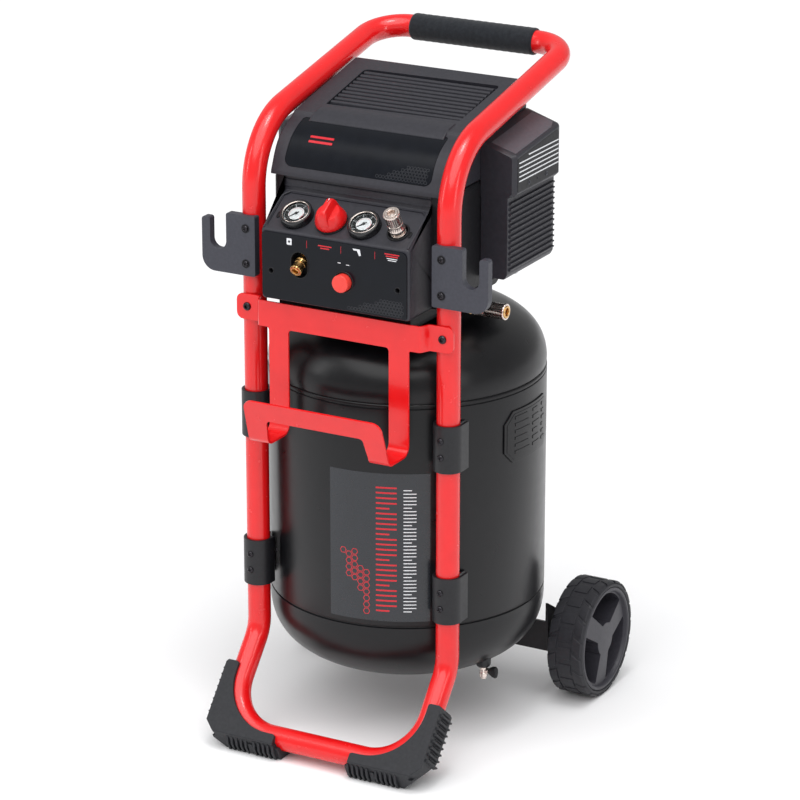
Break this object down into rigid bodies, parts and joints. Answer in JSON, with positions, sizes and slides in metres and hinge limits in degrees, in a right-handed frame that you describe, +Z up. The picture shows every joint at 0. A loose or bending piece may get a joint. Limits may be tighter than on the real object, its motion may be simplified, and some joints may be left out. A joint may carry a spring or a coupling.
{
  "type": "air compressor",
  "caption": "Upright portable air compressor: standing tank in a tubular trolley frame, silenced twin-piston pump housing, regulator, gauges, couplers and two wheels.",
  "frame": {"origin": "on the floor, under the middle of the footprint", "axes": "+Z up, front (control panel, floor bar) faces -Y, +X to the viewer's right from the front"},
  "size_m": [0.476, 0.517, 0.946],
  "materials": {
    "red_paint": "glossy powder coat",
    "tank_paint": "semi-gloss black enamel",
    "black_steel": "satin black paint",
    "foam_grip": "fine-celled foam",
    "foot_rubber": "matt moulded rubber",
    "hook_plastic": "fine-grained moulding",
    "charcoal_plastic": "fine-grained moulding",
    "gloss_black": "printed glossy foil",
    "gauge_black": "glossy moulding",
    "clear_lens": "clear polycarbonate",
    "nickel": "nickel plate",
    "brass": "turned brass",
    "zinc_steel": "zinc-plated",
    "pump_casting": "die-cast",
    "switch_plastic": "satin moulding",
    "hub_plastic": "fine-grained moulding",
    "tyre_rubber": "treaded rubber",
    "red_plastic": "satin-gloss moulding"
  },
  "bodies": {
    "chassis": {"frame_lower": "red_paint", "frame_upper": "red_paint", "handle_grip": "foam_grip", "foot_pad_left": "foot_rubber", "foot_pad_right": "foot_rubber", "collar_lower_left": "black_steel", "collar_lower_right": "black_steel", "collar_upper_left": "black_steel", "collar_upper_right": "black_steel", "tank_bracket_lower_left": "black_steel", "tank_bracket_lower_right": "black_steel", "tank_bracket_upper_left": "black_steel", "tank_bracket_upper_right": "black_steel", "hose_bracket": "red_paint", "hook_left": "hook_plastic", "hook_right": "hook_plastic", "tank_shell": "tank_paint", "tank_top": "tank_paint", "tank_bottom": "tank_paint", "drain_valve": "nickel", "axle_bracket_left": "black_steel", "axle_bracket_right": "black_steel", "axle": "zinc_steel", "housing_lower": "charcoal_plastic", "housing_cover": "charcoal_plastic", "control_panel": "gloss_black", "front_inlay": "gloss_black", "side_cover_left": "charcoal_plastic", "side_cover_right": "charcoal_plastic", "gauge_case_left": "gauge_black", "gauge_case_right": "gauge_black", "gauge_lens_left": "clear_lens", "gauge_lens_right": "clear_lens", "manifold": "pump_casting", "top_coupler_body": "nickel", "front_coupler_body": "brass", "side_coupler_body": "brass", "pressure_switch": "switch_plastic", "cable_gland": "switch_plastic", "pump_tray": "black_steel", "motor_stator": "pump_casting", "cylinder_left": "pump_casting", "cylinder_right": "pump_casting", "safety_valve": "brass"},
    "wheel_left": {"hub_left": "hub_plastic", "tyre_left": "tyre_rubber"},
    "wheel_right": {"hub_right": "hub_plastic", "tyre_right": "tyre_rubber"},
    "regulator_knob": {"regulator_knob": "red_plastic"},
    "power_button": {"power_button": "red_plastic"},
    "top_coupler_sleeve": {"top_coupler_sleeve": "nickel"},
    "front_coupler_sleeve": {"front_coupler_sleeve": "red_plastic"},
    "side_coupler_sleeve": {"side_coupler_sleeve": "nickel"},
    "drain_knob": {"drain_knob": "switch_plastic"},
    "safety_valve_ring": {"safety_valve_ring": "zinc_steel"},
    "gauge_needle_left": {"gauge_needle_left": "gauge_black"},
    "gauge_needle_right": {"gauge_needle_right": "gauge_black"},
    "motor_rotor": {"motor_rotor": "zinc_steel"},
    "piston_left": {"piston_left": "pump_casting"},
    "piston_right": {"piston_right": "pump_casting"}
  },
  "joints": [
    {"name": "wheel_left_spin", "type": "hinge", "parent": "chassis", "child": "wheel_left", "pos_m": [-0.2105, 0.1745, 0.084], "axis": [1, 0, 0], "continuous": true},
    {"name": "wheel_right_spin", "type": "hinge", "parent": "chassis", "child": "wheel_right", "pos_m": [0.2105, 0.1745, 0.084], "axis": [1, 0, 0], "continuous": true},
    {"name": "regulator_turn", "type": "hinge", "parent": "chassis", "child": "regulator_knob", "pos_m": [-0.018, -0.1553, 0.7494], "axis": [0, -0.5337, 0.8457], "range_deg": [-150, 150]},
    {"name": "power_press", "type": "slide", "parent": "chassis", "child": "power_button", "axis": [0, 1, 0], "range_m": [0, 0.004], "stiffness_N_per_m": 300},
    {"name": "top_coupler_release", "type": "slide", "parent": "chassis", "child": "top_coupler_sleeve", "axis": [0, 0.5337, -0.8457], "range_m": [0, 0.0045], "stiffness_N_per_m": 400},
    {"name": "front_coupler_release", "type": "slide", "parent": "chassis", "child": "front_coupler_sleeve", "axis": [0, 0.8988, 0.4384], "range_m": [0, 0.0045], "stiffness_N_per_m": 300},
    {"name": "side_coupler_release", "type": "slide", "parent": "chassis", "child": "side_coupler_sleeve", "axis": [-1, 0, 0], "range_m": [0, 0.0045], "stiffness_N_per_m": 400},
    {"name": "drain_turn", "type": "hinge", "parent": "chassis", "child": "drain_knob", "pos_m": [0.145, -0.0275, 0.0935], "axis": [1, 0, 0], "range_deg": [0, 90]},
    {"name": "safety_valve_lift", "type": "slide", "parent": "chassis", "child": "safety_valve_ring", "axis": [0, 0, 1], "range_m": [0, 0.004], "stiffness_N_per_m": 200},
    {"name": "gauge_left_turn", "type": "hinge", "parent": "chassis", "child": "gauge_needle_left", "pos_m": [-0.0705, -0.1553, 0.7494], "axis": [0, -0.5337, 0.8457], "range_deg": [-270, 0], "stiffness_Nm_per_rad": 0.0005},
    {"name": "gauge_right_turn", "type": "hinge", "parent": "chassis", "child": "gauge_needle_right", "pos_m": [0.032, -0.1553, 0.7494], "axis": [0, -0.5337, 0.8457], "range_deg": [-270, 0], "stiffness_Nm_per_rad": 0.0005},
    {"name": "motor_spin", "type": "hinge", "parent": "chassis", "child": "motor_rotor", "pos_m": [0, 0.0075, 0.722], "axis": [1, 0, 0], "continuous": true},
    {"name": "piston_left_stroke", "type": "slide", "parent": "chassis", "child": "piston_left", "axis": [0, 0, 1], "range_m": [-0.006, 0.006]},
    {"name": "piston_right_stroke", "type": "slide", "parent": "chassis", "child": "piston_right", "axis": [0, 0, 1], "range_m": [-0.006, 0.006]}
  ]
}
